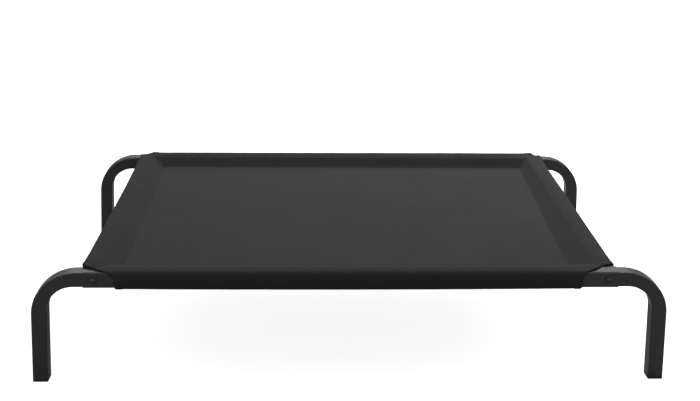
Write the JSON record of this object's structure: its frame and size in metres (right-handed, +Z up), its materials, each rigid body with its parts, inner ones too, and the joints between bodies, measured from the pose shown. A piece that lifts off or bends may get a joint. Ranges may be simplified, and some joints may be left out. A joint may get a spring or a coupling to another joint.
{
  "type": "raised dog cot",
  "caption": "Low raised pet bed: a stretched cloth deck with sewn sleeves on a bolted square-tube frame with bent legs.",
  "frame": {"origin": "on the floor below the middle of the cot", "axes": "+X along the long side, to the right seen from the front; -Y towards the front; +Z up"},
  "size_m": [1.07, 0.6626, 0.2016],
  "materials": {
    "frame_paint": "satin powder coat",
    "plug_steel": "machined",
    "bolt_black": "black oxide",
    "washer_steel": "black oxide",
    "foot_plastic": "moulded",
    "deck_cloth": "open weave",
    "sleeve_cloth": "open weave"
  },
  "bodies": {
    "root": {"front_long_rail": "frame_paint", "rear_long_rail": "frame_paint", "left_end_rail": "frame_paint", "right_end_rail": "frame_paint", "front_left_leg": "frame_paint", "front_right_leg": "frame_paint", "rear_left_leg": "frame_paint", "rear_right_leg": "frame_paint", "front_left_rail_plug": "plug_steel", "front_right_rail_plug": "plug_steel", "rear_left_rail_plug": "plug_steel", "rear_right_rail_plug": "plug_steel", "corner_bolts": "bolt_black", "spring_washers": "washer_steel", "flat_washers": "washer_steel", "front_left_foot": "foot_plastic", "front_right_foot": "foot_plastic", "rear_left_foot": "foot_plastic", "rear_right_foot": "foot_plastic", "deck_panel": "deck_cloth", "front_sleeve": "sleeve_cloth", "rear_sleeve": "sleeve_cloth", "left_sleeve": "sleeve_cloth", "right_sleeve": "sleeve_cloth"}
  },
  "joints": []
}
